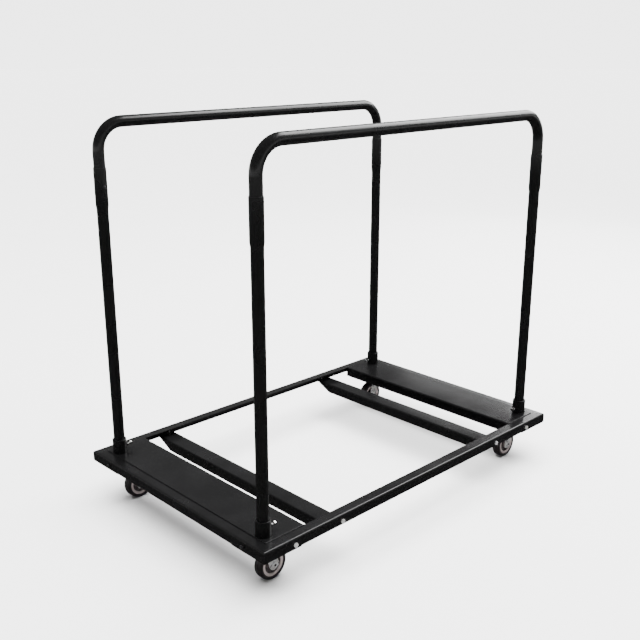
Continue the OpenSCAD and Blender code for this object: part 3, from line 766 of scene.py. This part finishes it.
# Wheel tyres. A band of dark maroon rubber bonded round each core, with round shoulders and the fine line
# that the two halves of the mould leave round the tread.
shoulder, shoulder_steps = 0.006, 8
bond_chamfer = 0.0006
mould_line, mould_half = 0.0003, 0.0006
inner_grime, edge_grime, shoulder_grime, tread_grime = 0.5, 0.4, 0.15, 0.35
tyre_steps = 128
tyre_rubber = moulded("maroon_black_rubber", clean=(0.0046, 0.0022, 0.0026), dirty_and_shaded=(0.010, 0.006, 0.006),
                      rough_low=0.40, rough_high=0.52, grain_scale=700)
for corner in corners:
    name = f"{corner}_wheel_tyre_piece"
    tyre_low, tyre_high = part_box(f"{corner}_wheel_tyre")
    core_low, core_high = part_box(f"{corner}_wheel_core")
    centre = (tyre_low + tyre_high) / 2
    tread_radius = (tyre_high.x - tyre_low.x) / 2
    bond_radius = (core_high.x - core_low.x) / 2
    tyre_half = (tyre_high.y - tyre_low.y) / 2
    half = [(bond_radius, -tyre_half + bond_chamfer, inner_grime),
            (bond_radius + bond_chamfer, -tyre_half, edge_grime)]
    half += arc(tread_radius - shoulder, -tyre_half + shoulder, shoulder, 90, 0,
                shoulder_steps, shoulder_grime)
    half += [(tread_radius, -mould_half, tread_grime)]
    section = mirrored(half)
    section.insert(len(half), (tread_radius + mould_line, 0.0, tread_grime))
    tyre = turned(name, section, centre, tyre_steps)
    fitted(name, tyre, tyre_rubber, "wheel_tyre", f"{corner}_wheel", f"{corner}_wheel_tyre")


# Floor. A wide pale studio floor under the wheels, not part of the trolley. It stays out of reflections, so
# that the black coat stays black.
floor_reach = 200
floor_level = cad_box[0].z
floor_pale, floor_paler = (0.86, 0.86, 0.86), (0.88, 0.88, 0.88)
floor_cloud_scale = 3
floor_mesh = bpy.data.meshes.new("studio_floor")
floor_mesh.from_pydata([(x * floor_reach, y * floor_reach, floor_level) for x, y in
                        ((-1, -1), (1, -1), (1, 1), (-1, 1))], [], [(0, 1, 2, 3)])
floor = bpy.data.objects.new("studio_floor", floor_mesh)
bpy.context.scene.collection.objects.link(floor)
pale_floor, floor_tree, floor_sockets, floor_place = new_finish("pale_floor")
floor_cloud = noise(floor_tree, floor_place, floor_cloud_scale, detail=2)
floor_tree.links.new(blended(floor_tree, floor_cloud, floor_pale, floor_paler), floor_sockets["Base Color"])
floor_sockets["Roughness"].default_value = 0.9
floor_sockets["Specular IOR Level"].default_value = 0
floor_mesh.materials.append(pale_floor)
floor.visible_glossy = False


# Screen. A tall pale studio screen all round the floor, not part of the trolley. Only the camera sees it: it
# lights nothing, casts no shadow and stays out of reflections.
screen_radius = 60
screen_height = 60
screen_sides = 96
screen_glow = 4.0
screen_fade = 0.7
screen_points, screen_faces = [], []
for i in range(screen_sides):
    angle = 2 * math.pi * i / screen_sides
    x, y = screen_radius * math.cos(angle), screen_radius * math.sin(angle)
    screen_points += [(x, y, floor_level), (x, y, screen_height)]
    here, after = 2 * i, 2 * ((i + 1) % screen_sides)
    screen_faces.append((here, here + 1, after + 1, after))
screen_mesh = bpy.data.meshes.new("studio_screen")
screen_mesh.from_pydata(screen_points, [], screen_faces)
screen = bpy.data.objects.new("studio_screen", screen_mesh)
bpy.context.scene.collection.objects.link(screen)
pale_screen, screen_tree, screen_sockets, screen_place = new_finish("pale_screen")
screen_sockets["Base Color"].default_value = (0, 0, 0, 1)
screen_sockets["Specular IOR Level"].default_value = 0
screen_sockets["Emission Color"].default_value = (1, 1, 1, 1)
screen_level = wire(screen_tree, "ShaderNodeSeparateXYZ", {"Vector": screen_place}).outputs["Z"]
faded = mapped(screen_tree, screen_level, screen_glow, screen_fade * screen_glow, 0, screen_height)
screen_tree.links.new(faded, screen_sockets["Emission Strength"])
screen_mesh.materials.append(pale_screen)
screen.visible_diffuse = False
screen.visible_glossy = False
screen.visible_shadow = False


# Light. A room with pale walls low down, a dim ceiling and a dim ground, and an even skylight. One soft box
# high on the right draws bright lines along the folds and tubes, and two low behind the right end give the
# deck there its sheen.
wall_glow, ceiling_glow, ground_glow = 2.0, 0.23, 0.10
wall_top, ceiling_start = 0.04, 0.12
ground_end, wall_foot = -0.10, -0.02
room = bpy.data.worlds.new("white_room")
room.use_nodes = True
room_tree = room.node_tree
background = room_tree.nodes["Background"].inputs
facing = wire(room_tree, "ShaderNodeTexCoord", {}).outputs["Generated"]
rise = wire(room_tree, "ShaderNodeSeparateXYZ", {"Vector": facing}).outputs["Z"]
above = mapped(room_tree, rise, wall_glow, ceiling_glow, wall_top, ceiling_start)
below = mapped(room_tree, rise, ground_glow / wall_glow, 1, ground_end, wall_foot)
room_tree.links.new(times(room_tree, above, below), background["Strength"])
background["Color"].default_value = (1, 1, 1, 1)
bpy.context.scene.world = room


def soft_box(name, place, aim, width, height, power):
    """A rectangular lamp that faces a point and that the camera doesn't see."""
    lamp = bpy.data.lights.new(name, "AREA")
    lamp.shape = "RECTANGLE"
    lamp.size = width
    lamp.size_y = height
    lamp.energy = power
    box = bpy.data.objects.new(name, lamp)
    box.location = place
    box.rotation_euler = (Vector(aim) - Vector(place)).to_track_quat("-Z", "Y").to_euler()
    box.visible_camera = False
    bpy.context.scene.collection.objects.link(box)


soft_box("high_right", place=(3.2, -0.5, 3.9), aim=(0, 0, 0.6), width=3.2, height=3.6, power=400)
soft_box("behind_right", place=(4.79, 2.47, 1.385), aim=(0.6, -0.25, 0.2), width=1.8, height=1.5, power=10)
soft_box("right_corner", place=(4.9, 1.75, 1.95), aim=(0.7, -0.4, 0.2), width=0.8, height=0.75, power=18)
skylight = bpy.data.lights.new("skylight", "SUN")
skylight.energy = 14
skylight.angle = math.radians(70)
sky = bpy.data.objects.new("skylight", skylight)
sky.visible_glossy = False
bpy.context.scene.collection.objects.link(sky)


# Camera. It stands at a grown person's eye level off the front left corner, and looks slightly down.
# A 50 mm lens on a 36 mm sensor, with everything in focus.
eye = Vector((-2.153, -2.170, 1.566))
heading = math.radians(45.90)
dip = math.radians(17.30)
focal_length = 49.88
sensor_width = 36
lens = bpy.data.cameras.new("camera")
lens.sensor_width = sensor_width
lens.lens = focal_length
camera = bpy.data.objects.new("camera", lens)
camera.location = eye
look = Vector((math.cos(dip) * math.cos(heading), math.cos(dip) * math.sin(heading), -math.sin(dip)))
camera.rotation_euler = look.to_track_quat("-Z", "Y").to_euler()
bpy.context.scene.collection.objects.link(camera)
bpy.context.scene.camera = camera

bpy.context.view_layer.update()
